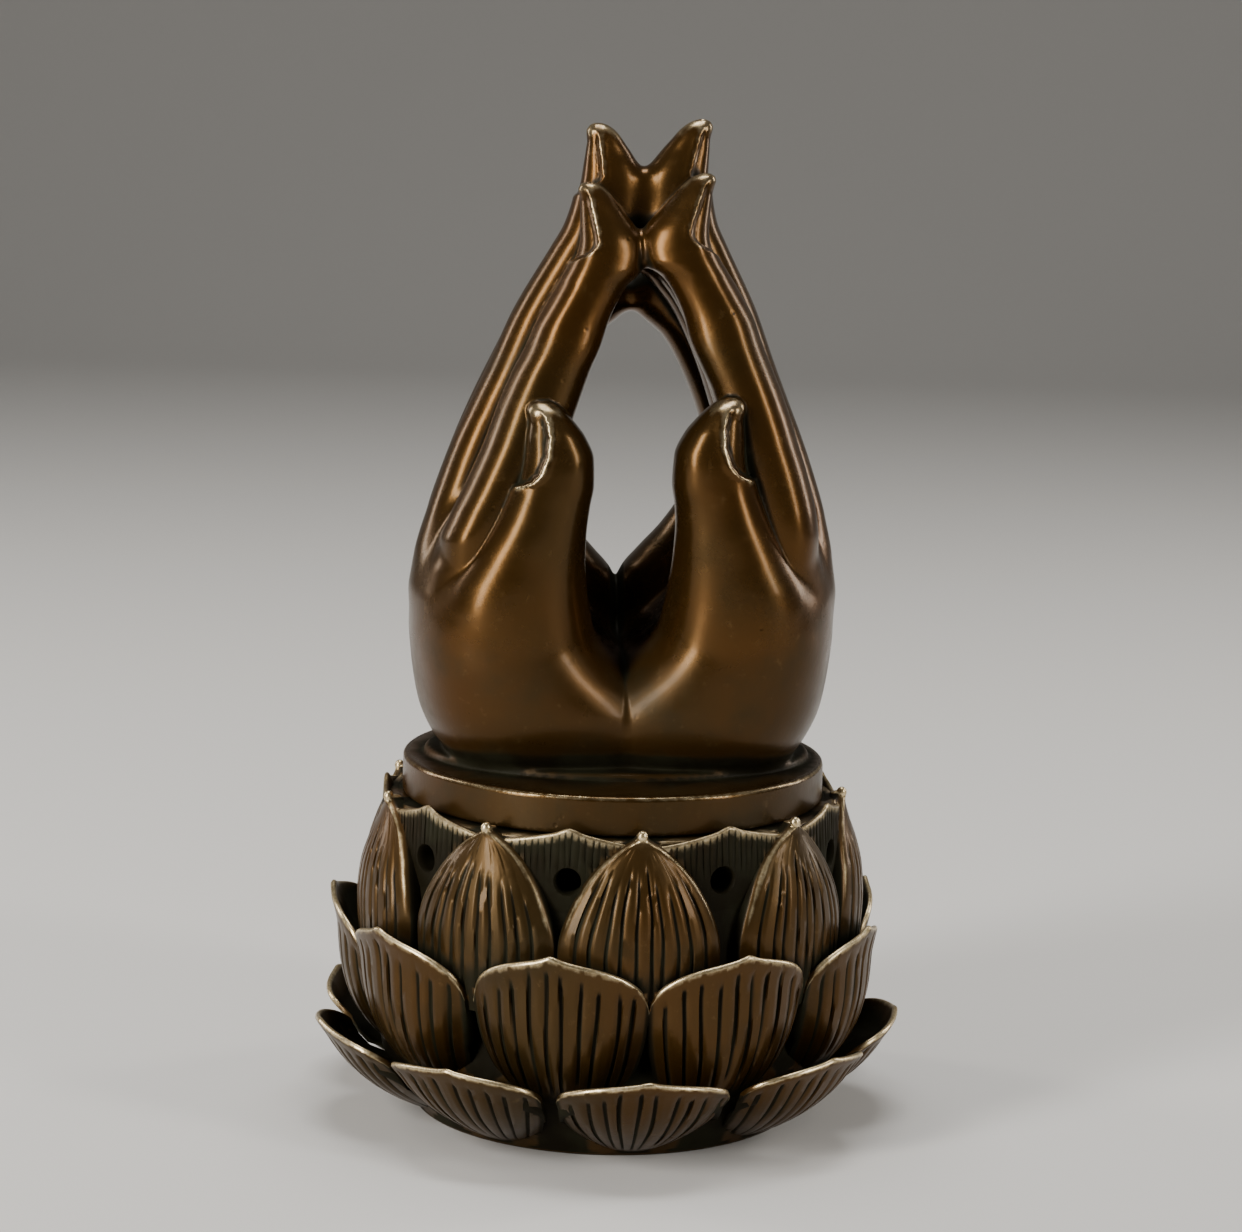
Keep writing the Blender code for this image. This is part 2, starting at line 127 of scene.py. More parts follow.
THUMB = side_table(
    ((118.6, 13.8, 15.9), (118.2, 12.9, 16.5), (117.2, 11.4, 17.1), (115, 9.3, 17.7), (113, 7.8, 18.0),
     (109.3, 6.3, 18.3), (105, 6.1, 19.4), (101.5, 6.6, 20.9), (97, 6.95, 23.2), (93, 6.9, 25.6), (88, 6.4, 28.6),
     (84, 5.7, 29.8), (80.6, 4.9, 30.2), (76, 3.1, 30.0), (72, 0.9, 29.4), (69, -0.9, 28.7), (65, -2.2, 27.6),
     (61, -2.8, 26.2), (57, -3.2, 24.0)),
    ((118.6, -18.9, 0.9), (118.2, -18.9, 1.8), (117.2, -18.9, 3.1), (115, -18.8, 4.6), (113, -18.7, 5.5),
     (109, -18.5, 6.3), (105, -18.1, 6.8), (101.5, -17.7, 7.2), (97, -17.1, 7.9), (93, -16.2, 8.8), (88, -15.0, 10.1),
     (80, -13.2, 11.6), (73, -12.2, 12.0), (68, -11.6, 11.8), (64, -10.8, 11.2), (61, -9.9, 10.3), (59, -8.8, 9.6),
     (57, -7.8, 9.0)))
# the outer wall of the palm, below the fingers
PALM = side_table(
    ((57, -12, 26.4), (59.4, -12, 28.2), (61, -12, 29.4), (62.6, -12, 30.5), (64.5, -11, 31.5), (67, -10, 32.5),
     (70, -8, 33.2), (75, -2, 33.9), (80, 3.7, 34.3), (85, 8.8, 34.2), (90, 12.4, 33.2), (95, 14.8, 31.6),
     (100, 16.6, 29.8), (105, 17.8, 27.4), (110, 18.4, 25.0), (114, 18.8, 22.6), (117, 19.6, 21.0)),
    ((57, 0.0, 17.2), (59.4, 0.0, 18.8), (62, 0.0, 20.5), (65, 0.0, 21.9), (69, 0.1, 22.6), (75, 0.2, 22.6),
     (82, 0.4, 21.6), (88, 0.5, 19.8), (93, 0.5, 17.4), (98, 0.3, 14.6), (105, 0.0, 10.6), (112, 0.0, 6.4),
     (117, 0.0, 3.0)))
# the little finger's edge of the palm, which closes the back up to z 87
HEEL = side_table(
    ((57, -3.0, 22.0), (59.4, -3.0, 23.6), (62, -2.8, 25.4), (68, -1.8, 27.4), (74, -1.2, 28.6), (80, -0.8, 29.2),
     (84, -0.3, 29.2), (87, 1.0, 28.9), (90, 3.6, 28.4), (94, 7.2, 27.8), (99, 10.4, 26.4), (103, 12.0, 25.2),
     (107, 13.0, 23.6), (111, 13.7, 21.6), (114, 14.6, 19.4)),
    ((57, 8.0, 9.4), (59.4, 8.6, 10.0), (62, 9.6, 10.8), (66, 10.6, 11.5), (72, 11.4, 11.4), (80, 12.2, 10.4),
     (87, 13.2, 8.9), (93, 14.0, 7.4), (99, 14.2, 6.2), (106, 13.8, 4.8), (114, 13.2, 2.4)))
LEAN = dense(((52, 0.55), (60, 0.55), (90, 0.55), (101, 0.8), (110, 0.8), (116, 0.9), (123, 1.1), (130, 1.3),
              (138, 1.65), (150, 2.4), (160, 3.2), (163, 3.4)))
# how softly the two hands run together where they touch
TOUCH = dense(((50, 0.8), (60, 0.8), (92, 0.9), (118, 2.0), (126, 3.0), (132, 3.4), (137, 2.8), (140, 1.2),
               (145, 2.2), (150, 3.0), (163, 3.0)))


def smin(a, b, k):
    h = np.maximum(k - np.abs(a - b), 0.0) / k
    return np.minimum(a, b) - h * h * k * 0.25


def smax(a, b, k):
    return -smin(-a, -b, k)


def sstep(x, lo, hi):
    t = np.clip((x - lo) / (hi - lo), 0.0, 1.0)
    return t * t * (3 - 2 * t)


def column(x, y, z, tab, power=2.0, turn=0.0, scale=1.0):
    """Distance to a standing column whose level sections are ovals."""
    t = tab["z"]
    zc = np.clip(z, t[0], t[-1])
    cx, cy = np.interp(zc, t, tab["cx"]), np.interp(zc, t, tab["cy"])
    a, b = np.interp(zc, t, tab["a"]) * scale, np.interp(zc, t, tab["b"]) * scale
    X, Y = x - cx, y - cy
    if turn:
        c, s = math.cos(turn), math.sin(turn)
        X, Y = X * c + Y * s, -X * s + Y * c
    ax, by = np.abs(X / a) + 1e-6, np.abs(Y / b) + 1e-6
    k = (ax**power + by**power) ** (1.0 / power)
    gx = (ax / k) ** (power - 1) / a
    gy = (by / k) ** (power - 1) / b
    d = (k - 1.0) / np.sqrt(gx * gx + gy * gy)
    over = np.maximum(z - t[-1], t[0] - z)
    return np.where(over > 0, np.sqrt(np.maximum(d, 0.0) ** 2 + over * over), d)


def waves(x, y, z, scale, seed):
    """Gentle repeatable unevenness, from -1 to 1."""
    r = np.random.RandomState(seed)
    out = 0.0
    for _ in range(5):
        d = r.normal(size=3)
        d = d / np.linalg.norm(d) * (2 * math.pi / scale) * r.uniform(0.6, 1.5)
        out = out + np.sin(d[0] * x + d[1] * y + d[2] * z + r.uniform(0, 6.28))
    return out / 5.0


def lean(z):
    return np.interp(z, LEAN[0], LEAN[1])


def at(tab, z, *names):
    return [np.interp(z, tab["z"], tab[n]) for n in names]


def with_nail(d, tab, x, y, z, z0, z1, fold, depth):
    """Cut a fingernail into a finger's outer side, behind a raised fold of skin."""
    cx, a, cy, b = at(tab, z, "cx", "a", "cy", "b")
    z0 = z0 + 1.5 * np.clip((y - cy) / b, -1, 1) ** 2        # the cuticle is a curve, lowest in the middle
    away = np.clip(1 - (z - z0) / (0.17 * (z1 - z0)), 0, 1)
    edge = cx + a * fold + a * (0.62 - fold) * away ** 2
    m = sstep(x - edge, -0.36, 0.36) * sstep(z, z0 - 0.4, z0 + 0.4)
    fade = 1 - 0.9 * sstep(z, z1 - 2.8, z1 - 0.2)
    rim = np.exp(-((x - edge + 0.8) / 0.6) ** 2) * sstep(z, z0 - 1.0, z0 + 1.2) * fade
    return d + depth * m * fade - 0.16 * rim * (1 - m)


def one_hand(x, y, z, hand):
    """The +X hand; the other is its mirror image but for the index finger."""
    rise = z + (0.4 if hand > 0 else 0.6) * np.clip((z - 90) / 27.0, 0, 1)
    high = np.clip((z - 122) / 25.0, 0, 1)
    zi, zm = z + (0.0 if hand > 0 else 0.5) * high, z + (0.45 if hand > 0 else 0.0) * high
    index_tab = INDEX_R if hand > 0 else INDEX_L
    index = column(x, y, zi, index_tab, power=2.25, turn=-0.42, scale=0.98)
    middle = column(x, y, zm, MIDDLE, power=2.3, turn=-0.2)
    ring = column(x, y, z, RING, power=2.2)
    little = column(x, y, z, LITTLE, power=2.1)
    n = 2.02 + 0.28 * sstep(z, 98.0, 110.0)
    thumb = column(x, y, rise, THUMB, power=n)
    index = with_nail(index, index_tab, x, y, zi, 139.7, 151.6, 0.34 if hand > 0 else 0.44, 0.62)
    middle = with_nail(middle, MIDDLE, x, y, zm, 149.4, 160.2, 0.36, 0.6)
    ring = with_nail(ring, RING, x, y, z, 138.6, 149.2, 0.25, 0.7)
    little = with_nail(little, LITTLE, x, y, z, 131.0, 140.2, 0.25, 0.6)

    # the thumb's nail looks outward and a little forward
    base = 105.9 if hand > 0 else 105.0
    edge = np.interp(rise - base, (0.0, 0.5, 1.2, 2.4, 5.2, 8.2, 10.6, 12.2, 13.4),
                     (18.9, 17.4, 16.2, 15.1, 14.0, 13.8, 14.3, 15.0, 15.4))
    cuticle = base - 0.2 + 1.5 * np.clip((y + 20.3) / 6.7, -1, 1) ** 2
    m = sstep(x - edge, -0.38, 0.38) * sstep(rise, cuticle - 0.45, cuticle + 0.4)
    fade = 1 - 0.92 * sstep(rise, 114.8, 117.6)
    rim = np.exp(-((x - edge + 0.95) / 0.7) ** 2) * sstep(rise, base - 1.4, base + 0.6) * fade
    thumb = thumb + 1.05 * m * fade - 0.24 * rim * (1 - m)

    soft = sstep(103.0 - z, 0.0, 20.0)
    body = smin(column(x, y, z, PALM, power=2.5), column(x, y, z, HEEL, power=2.2), 4.0)
    k = 0.5 + 2.2 * soft
    f = smin(smin(index, middle, k), smin(ring, little, k), k)
    hand_ = smin(body, f, 0.9 + 2.6 * soft)
    return smin(hand_, thumb, 0.45 + 3.4 * sstep(95.0 - z, 0.0, 26.0))


def hands_field(P):
    wx, wy, wz = P[:, 0], P[:, 1], P[:, 2]
    x0 = wx - lean(wz)
    c, s = math.cos(HAND_TURN), math.sin(HAND_TURN)
    xl = x0 * c + wy * s
    y = -x0 * s + wy * c
    tilt = 0.7 * np.clip((wz - 60) / 100.0, 0, 1)
    pair = []
    for hand in (1, -1):
        d = np.full(len(wx), 60.0)
        near = xl * hand > -4.5
        d[near] = one_hand(xl[near] * hand, y[near], wz[near] - hand * tilt[near], hand)
        pair.append(d)
    hand = smin(pair[0], pair[1], np.interp(wz, TOUCH[0], TOUCH[1]))
    hand = hand + 0.05 * waves(wx, wy, wz, 17.0, 3)

    # oval plinth under the hands, and the round plate
    A, B = 31.4, 22.8
    k0 = np.sqrt((xl / A) ** 2 + (y / B) ** 2)
    k1 = np.sqrt((xl / A**2) ** 2 + (y / B**2) ** 2)
    oval = k0 * (k0 - 1) / np.maximum(k1, 1e-4)
    plinth = smax(oval, wz - PLINTH_Z, 1.0)
    r = np.sqrt(wx * wx + wy * wy)
    rho = np.where(wz > 55.0, 0.75, 0.45)
    qx = r - (PLATE_R + 0.05 * waves(wx, wy, wz, 30.0, 5) - rho)
    qz = np.abs(wz - (PLATE_Z0 + PLATE_Z1) / 2) - ((PLATE_Z1 - PLATE_Z0) / 2 - rho)
    plate = np.sqrt(np.maximum(qx, 0) ** 2 + np.maximum(qz, 0) ** 2) + np.minimum(np.maximum(qx, qz), 0) - rho
    foot = smin(plate, plinth, 0.5)
    return np.maximum(smin(hand, foot, 0.9), PLATE_Z0 - wz)


def gradient(field, P, eps=0.04):
    g = np.empty_like(P)
    for i in range(3):
        d = np.zeros(3)
        d[i] = eps
        g[:, i] = (field(P + d) - field(P - d)) / (2 * eps)
    return g


def snap(field, P, rounds):
    """Move points onto the true surface."""
    for _ in range(rounds):
        f = field(P)
        g = gradient(field, P)
        n2 = np.maximum((g * g).sum(1), 0.05)
        step = (f / n2)[:, None] * g
        length = np.linalg.norm(step, axis=1)
        step *= np.minimum(1.0, 0.25 / np.maximum(length, 1e-9))[:, None]
        P = P - step
    return P


def in_chunks(field, P, size=400000):
    out = np.empty(len(P))
    for i in range(0, len(P), size):
        out[i:i + size] = field(P[i:i + size])
    return out


def surface_net(field, lo, hi, h):
    """Quads on the zero level of a field, one vertex in each cell that it crosses."""
    axes = [np.arange(a, b + h, h) for a, b in zip(lo, hi)]
    nx, ny, nz = (len(a) for a in axes)
    F = np.empty((nx, ny, nz), np.float32)
    for i in range(0, nx, 8):
        X, Y, Z = np.meshgrid(axes[0][i:i + 8], axes[1], axes[2], indexing="ij")
        F[i:i + 8] = field(np.stack([X.ravel(), Y.ravel(), Z.ravel()], 1)).reshape(X.shape)
    S = F < 0
    cells = np.zeros((nx - 1, ny - 1, nz - 1), bool)
    corner = [(i, j, k) for i in (0, 1) for j in (0, 1) for k in (0, 1)]
    first = S[:-1, :-1, :-1]
    for i, j, k in corner[1:]:
        cells |= S[i:nx - 1 + i, j:ny - 1 + j, k:nz - 1 + k] != first
    idx = np.argwhere(cells)
    number = np.full(cells.shape, -1, np.int64)
    number[cells] = np.arange(len(idx))
    total = np.zeros((len(idx), 3))
    count = np.zeros(len(idx))
    for a in corner:
        for ax in range(3):
            if a[ax]:
                continue
            b = list(a)
            b[ax] = 1
            fa = F[idx[:, 0] + a[0], idx[:, 1] + a[1], idx[:, 2] + a[2]]
            fb = F[idx[:, 0] + b[0], idx[:, 1] + b[1], idx[:, 2] + b[2]]
            cross = (fa < 0) != (fb < 0)
            t = np.where(cross, fa / np.where(cross, fa - fb, 1.0), 0.0)
            p = np.repeat(np.array(a, float)[None], len(idx), 0)
            p[:, ax] = t
            total += p * cross[:, None]
            count += cross
    verts = (idx + total / count[:, None]) * h + np.array(lo)
    quads = []
    for ax in range(3):
        o1, o2 = [(1, 2), (2, 0), (0, 1)][ax]
        sl = [slice(1, -1)] * 3
        sl[ax] = slice(0, -1)
        up = [slice(1, -1)] * 3
        up[ax] = slice(1, None)
        A, B = S[tuple(sl)], S[tuple(up)]
        for inside, flip in ((A & ~B, False), (~A & B, True)):
            e = np.argwhere(inside)
            base = e.copy()
            for o in (0, 1, 2):
                if o != ax:
                    base[:, o] += 1
            def cell(d1, d2):
                c = base.copy()
                c[:, o1] -= d1
                c[:, o2] -= d2
                return number[c[:, 0], c[:, 1], c[:, 2]]
            q = np.stack([cell(1, 1), cell(0, 1), cell(0, 0), cell(1, 0)], 1)
            quads.append(q[:, ::-1] if flip else q)
    return verts, np.concatenate(quads)


def make_mesh(name, verts, faces):
    me = bpy.data.meshes.new(name)
    n = faces.shape[1]
    me.vertices.add(len(verts))
    me.vertices.foreach_set("co", (verts * MM).astype(np.float32).ravel())
    me.loops.add(len(faces) * n)
    me.loops.foreach_set("vertex_index", faces.astype(np.int32).ravel())
    me.polygons.add(len(faces))
    me.polygons.foreach_set("loop_start", np.arange(0, len(faces) * n, n, dtype=np.int32))
    me.update(calc_edges=True)
    me.validate()
    return me


def coords(me):
    v = np.empty(len(me.vertices) * 3, np.float32)
    me.vertices.foreach_get("co", v)
    return v.reshape(-1, 3).astype(float) / MM


def triangles(me):
    me.calc_loop_triangles()
    t = np.empty(len(me.loop_triangles) * 3, np.int32)
    me.loop_triangles.foreach_get("vertices", t)
    return t.reshape(-1, 3)


def link(ob):
    bpy.context.scene.collection.objects.link(ob)
    return ob


def evaluated(ob):
    bpy.context.view_layer.update()
    return bpy.data.meshes.new_from_object(ob.evaluated_get(bpy.context.evaluated_depsgraph_get()))


def store(me, name, values):
    a = me.attributes.get(name) or me.attributes.new(name, "FLOAT", "POINT")
    a.data.foreach_set("value", np.asarray(values, np.float32))


def blurred(me, values, rounds):
    """Values averaged with those of each vertex's neighbours."""
    e = np.empty(len(me.edges) * 2, np.int32)
    me.edges.foreach_get("vertices", e)
    e = e.reshape(-1, 2)
    count = np.bincount(e.ravel(), minlength=len(values))
    for _ in range(rounds):
        near = np.bincount(e[:, 0], values[e[:, 1]], len(values)) + np.bincount(e[:, 1], values[e[:, 0]], len(values))
        values = 0.5 * values + 0.5 * near / np.maximum(count, 1)
    return values


def build_hands():
    h = 0.5
    verts, quads = surface_net(hands_field, (-36.2, -36.2, 50.6), (36.6, 36.2, 162.2), h)
    verts = snap(hands_field, verts, 3)
    me = make_mesh("praying_hands", verts, quads)
    ob = link(bpy.data.objects.new("praying_hands", me))
    tri = 2 * len(quads)
    print("hands triangles before thinning", tri)
    if tri > 188000:
        m = ob.modifiers.new("thin", "DECIMATE")
        m.ratio = 186000.0 / tri
        me = evaluated(ob)
        ob.modifiers.clear()
        ob.data = me
        v = snap(hands_field, coords(me), 2)
        me.vertices.foreach_set("co", (v * MM).astype(np.float32).ravel())
        me.update()
    v = coords(me)
    g = gradient(hands_field, v)
    n = g / np.maximum(np.linalg.norm(g, axis=1), 1e-6)[:, None]
    # wear on raised places, dirt in concave creases and painted shade in shut-in places, from the field around each
    # point
    bend = np.zeros(len(v))
    for e in (0.5, 1.0):
        t1 = np.cross(n, [0.3, 0.5, 0.81])
        t1 /= np.linalg.norm(t1, axis=1)[:, None]
        t2 = np.cross(n, t1)
        f = sum(hands_field(v + d * e) for d in (t1, -t1, t2, -t2))
        bend += f / (e * e) * 0.25
    shade = np.zeros(len(v))
    for e, w in ((0.8, 0.5), (2.0, 0.8), (4.5, 1.0), (8.0, 0.8)):
        shade += w * np.clip((e - hands_field(v + n * e)) / e, 0, 1.2)
    shade = np.clip(shade / 3.1, 0, 1)
    low = sstep(62.5 - v[:, 2], 0.0, 4.0)            # darker olive band on the hands just above the plinth
    top = sstep(v[:, 2], 57.2, 58.0) * (1 - sstep(v[:, 2], 58.6, 60.5)) * sstep(34.0 - np.hypot(v[:, 0], v[:, 1]), 0.0, 1.5)
    handled = 0.55 * sstep(bend, 0.09, 0.30) * sstep(v[:, 2], 84.0, 100.0)   # rubbed paler along the fingers
    wear = np.maximum(0.85 * sstep(bend, 0.28, 1.1), handled) * (1 - sstep(shade, 0.2, 0.55))
    # painted shade: places shut in by the hands themselves are darkened, together with dirt in concave creases
    dirt_and_shade = np.maximum(sstep(-bend, 0.10, 0.7), sstep(shade, 0.22, 0.62))
    dirt_and_shade = np.maximum(0.85 * dirt_and_shade, np.maximum(0.5 * low * (v[:, 2] > 58.6), 0.55 * top))
    r = np.hypot(v[:, 0], v[:, 1])
    side = sstep(r, 33.2, 33.8) * sstep(57.9 - v[:, 2], 0.0, 0.5)
    dirt_and_shade = np.maximum(dirt_and_shade, 0.42 * side)
    # darker and less glossy towards the bottom of the hands, below z 90
    dirt_and_shade = np.maximum(dirt_and_shade, 0.40 * sstep(90.0 - v[:, 2], 0.0, 16.0) * (v[:, 2] > 58.6))
    wear = np.maximum(wear, 0.75 * sstep(r, 33.7, 34.0) * sstep(v[:, 2], 57.4, 57.8) * (v[:, 2] < 58.25))
    under = v[:, 2] < 52.2
    dirt_and_shade[under] = 0.6
    wear, dirt_and_shade = blurred(me, wear, 2), blurred(me, dirt_and_shade, 1)
    store(me, "wear", wear)
    store(me, "dirt_and_shade", np.clip(dirt_and_shade, 0, 1))
    me.shade_smooth()
    me.normals_split_custom_set_from_vertices(n.astype(np.float32))
    return ob


# =============================================================================
# Lotus bowl: petals lofted along their engraved veins, joined to a turned core.
# Each vertex also carries how worn its place is, and how dirty or painted with shade.
# =============================================================================
PETALS, PITCH = 9, 40.0
RIM_R, RIM_Z, MOUTH_R, LEDGE_R, LEDGE_Z = 36.4, 51.8, 35.0, 30.0, 51.7
VENT_AZ, VENT_Z, VENT_D = -10.0, 45.4, 4.0
FOOT_R = 31.0
MARKS = []                       # (position, wear, dirt and painted shade)


def curve(rows, step=0.02):
    d = dense(rows, step)
    return lambda q: float(np.interp(q, d[0], d[1]))


PROFILE_LOW = curve(((-1, 27.5), (0.0, 30.0), (1.0, 32.4), (3.0, 36.2), (6.0, 40.4), (9.0, 43.4), (12.0, 45.6),
                     (15.0, 47.3), (18.0, 48.6), (21, 49.4)))
PROFILE_MID = curve(((9, 36.5), (12, 39.2), (15, 41.2), (19, 42.8), (24, 43.7), (29, 44.0), (32, 44.3), (34, 44.8),
                     (37, 45.8)))
PROFILE_TALL = curve(((22, 39.6), (25, 40.5), (28, 41.1), (31, 41.5), (36, 41.7), (41, 41.3), (45, 40.3), (48, 39.2),
                      (50.5, 38.4), (52, 38.1), (54, 38.2)))
PROFILE_RING = curve(((39, 37.2), (44, 37.45), (48, 37.35), (55, 37.1)))
# shape of a wide petal's rim: broad shoulders and a small drawn-up tip
RIM_SHAPE = curve(((0, 1.0), (0.04, 0.975), (0.12, 0.925), (0.28, 0.86), (0.5, 0.77), (0.7, 0.645), (0.84, 0.50),
                   (0.92, 0.37), (0.97, 0.23), (1.0, 0.06)), 0.002)
RING_SHAPE = curve(((0, 1.0), (0.07, 0.90), (0.16, 0.72), (0.35, 0.5), (0.6, 0.26), (0.85, 0.06), (1.0, 0.0)), 0.002)
WIDTH_MID = curve(((0, 0.70), (0.15, 0.79), (0.35, 0.89), (0.6, 0.96), (0.8, 0.99), (1, 1.0)), 0.002)
WIDTH_LOW = curve(((0, 0.48), (0.15, 0.66), (0.35, 0.84), (0.6, 0.95), (0.8, 0.99), (1, 1.0)), 0.002)
WIDTH_RING = curve(((0, 1.0), (1, 1.0)), 0.002)


def jitter(*key):
    """A repeatable number from -1 to 1 for a place on the casting."""
    t = sum((i + 1) * 12.9898 * k for i, k in enumerate(key))
    return 2.0 * ((math.sin(t) * 43758.5453) % 1.0) - 1.0


def step1(x, lo, hi):
    t = min(1.0, max(0.0, (x - lo) / (hi - lo)))
    return t * t * (3 - 2 * t)


def vein_columns(count, key, half_mm, width, edge, stray=0.16):
    """Positions across a petal, -1 to 1, close together at each engraved vein.

    Each is (u, depth of the vein there, number of the vein)."""
    w = width / half_mm
    cols = {-1.0: (0.0, -1), -0.975: (0.0, -1), 0.975: (0.0, -1), 1.0: (0.0, -1)}
    pitch = 2 * edge / count
    for i in range(count):
        c = -edge + pitch * (i + 0.5) + stray * pitch * jitter(key, i, 3)
        deep = 1.0 + 0.22 * jitter(key, i, 7)
        for off, dep in ((-0.62, 0.0), (-0.22, 0.92), (0.22, 0.92), (0.62, 0.0)):
            cols[c + off * w] = (dep * deep, i)
    us = sorted(cols)
    out = [(us[0], *cols[us[0]])]
    for p, q in zip(us, us[1:]):
        gap = (q - p) * half_mm
        n = 1 if gap < 0.9 else (2 if gap < 1.7 else 3)
        for j in range(1, n):
            out.append((p + (q - p) * j / n, 0.0, -1))
        out.append((q, *cols[q]))
    return out


def polar(r, az, z):
    return (r * math.sin(az), -r * math.cos(az), z)


def loft(rings, verts, faces):
    """Closed solid through equal rings of points, with flat ends, facing outward."""
    base = len(verts)
    m = len(rings[0])
    for ring in rings:
        verts.extend(ring)
    own = []
    for i in range(len(rings) - 1):
        for j in range(m):
            k = (j + 1) % m
            p, q = base + i * m + j, base + i * m + k
            own.append((p, q, q + m, p + m))
    own.append(tuple(base + j for j in range(m))[::-1])
    top = base + (len(rings) - 1) * m
    own.append(tuple(top + j for j in range(m)))
    o = Vector(rings[0][0])
    volume = 0.0
    for f in own:
        a = Vector(verts[f[0]]) - o
        for i in range(1, len(f) - 1):
            volume += a.dot((Vector(verts[f[i]]) - o).cross(Vector(verts[f[i + 1]]) - o))
    faces.extend(own if volume > 0 else [f[::-1] for f in own])


def swell(az_deg):
    """The casting isn't quite round: the rows stand out further on the left."""
    return 0.75 * (0.5 - 0.5 * math.sin(math.radians(az_deg)))


def wide_petals(az0, zb, zj, zt, half, drop, profile, shape, width_at, veins, lip, inner, vein_w, vein_d, rows=14,
                edge=0.93, back=2.4, stop=0.925, key=0.0, out=1.0, flare=0.35, wobble=1.0, which=range(PETALS),
                under_plate_shade=0.0, first=0.10):
    """Some of a row of wide petals with scalloped rims and rounded lips."""
    verts, faces = [], []
    half_mm = math.radians(half) * 43.0
    for k in which:
        cols = vein_columns(veins, k + key, half_mm, vein_w, edge)
        tip = zt - zj + 0.55 * wobble * jitter(k, key, 1)
        mid = math.radians(az0 + PITCH * k + 0.7 * wobble * jitter(k, key, 2))
        grow = out * swell(az0 + PITCH * k) + 0.3 * wobble * jitter(k, key, 6)
        low = 0.3 * wobble * jitter(k, key, 4)
        skew = 0.10 * wobble * jitter(k, key, 5)
        rings = []
        for u, dep, vein in cols:
            au = abs(u)
            us = max(-1.0, min(1.0, u - skew * (1 - u * u)))
            top = zj + tip * shape(abs(us)) + low * (1 - au)
            fall = drop * (0.62 * au ** 2 + 0.38 * au ** 7)
            start = first + 0.05 * jitter(vein, k, 8) if vein >= 0 else first
            end = stop + 0.045 * jitter(vein, k, 9) - 0.05 * au if vein >= 0 else stop
            ring, marks = [], []
            for j in range(rows + 1):
                v = j / rows
                v = 1 - (1 - v) ** 1.15
                z = zb + (top - lip * 0.5 - zb) * v
                wv = width_at(v)
                a = mid + math.radians(u * half) * wv + 0.004 * dep * math.sin(7 * v + 2.1 * vein + k)
                g = dep * vein_d * step1(v, start, start + 0.12) * (1 - step1(v, end - 0.05, end + 0.025))
                bow = 0.22 * math.sin(math.pi * v) * (1 - au ** 2)
                r = profile(z) + grow * v - fall * (1 - 0.2 * v) + flare * step1(v, 0.82, 1.0) + bow - g
                ring.append(polar(r, a, z))
                # second value: dirt in the veins and at the petal's edges, painted shade at the petal's foot, and on
                # the ring painted shade of the plate above
                marks.append((0.16 * (1 - min(1.0, dep)) + 0.45 * step1(v, 0.95, 1.0),
                              max(min(1.0, 1.8 * g / max(vein_d, 0.01)), 0.9 * step1(au, 0.92, 0.99),
                                  0.8 * (1 - step1(v, 0.02, 0.15)), under_plate_shade * (1 - 0.25 * v))))
            a = mid + math.radians(u * half)
            z1 = top - lip * 0.5
            r1 = profile(z1) + grow - fall * 0.8 + flare
            rc = r1 - lip / 2
            for j in range(1, 7):
                t = math.pi * j / 7
                ring.append(polar(rc + lip / 2 * math.cos(t), a, z1 + lip * 0.6 * math.sin(t)))
                # on the ring the lips are painted less bright, as they lie in the plate's shade
                marks.append(((1.0 - 0.35 * (j / 7.0) ** 2) * (1 - 0.75 * step1(au, 0.86, 0.99)) * (1 - 0.35 * under_plate_shade), 0.0))
            r2 = r1 - lip
            # behind the lip the inner face steps in toward the core, painted darker inward as shade
            for dr, dz, w, q in ((0.12, 0.3, 0.35, 0.3), (0.4 * back, 0.33 * inner, 0.0, 0.55), (0.8 * back, 0.7 * inner, 0.0, 0.8),
                                 (1.3 * back, inner, 0.0, 1.0)):
                ring.append(polar(max(r2 - dr, 35.5), a, z1 - dz))
                marks.append((w, q))
            aw = mid + math.radians(u * half) * 0.9 * width_at(0.5)
            ring.append(polar(34.6, aw, min(z1 - inner, 0.5 * (zb + z1))))
            marks.append((0.0, 1.0))
            aw = mid + math.radians(u * half) * 0.9 * width_at(0.0)
            ring.append(polar(min(34.6, profile(zb) - fall - 2.0), aw, zb + 0.5))
            marks.append((0.0, 1.0))
            rings.append(ring)
            MARKS.extend((p, w, q) for p, (w, q) in zip(ring, marks))
        loft(rings, verts, faces)
    return verts, faces


def tall_place(k, zt, az0):
    """Tip height, turn and outward growth of one tall petal."""
    return (zt + 0.4 * jitter(k, 5, 1), -2.6 if k == 0 else 0.7 * jitter(k, 5, 2), 0.5 * swell(az0 + PITCH * k))


def tip_beads(az0, zt, profile):
    verts, faces = [], []
    for k in range(PETALS):
        tip, off, grow = tall_place(k, zt, az0)
        az, r0 = math.radians(az0 + PITCH * k + off), profile(tip) + grow - 0.5
        c0 = polar(r0, az, 0.0)
        rings = []
        for i in range(1, 9):
            q = math.pi * i / 9
            rad = 0.85 * math.sin(q)
            rings.append([(c0[0] + rad * math.cos(math.pi * h / 6), c0[1] + rad * math.sin(math.pi * h / 6),
                           tip + 0.2 - 0.95 * math.cos(q)) for h in range(12)])
            MARKS.extend((p, 1.0, 0.0) for p in rings[-1])
        loft(rings, verts, faces)
    return verts, faces


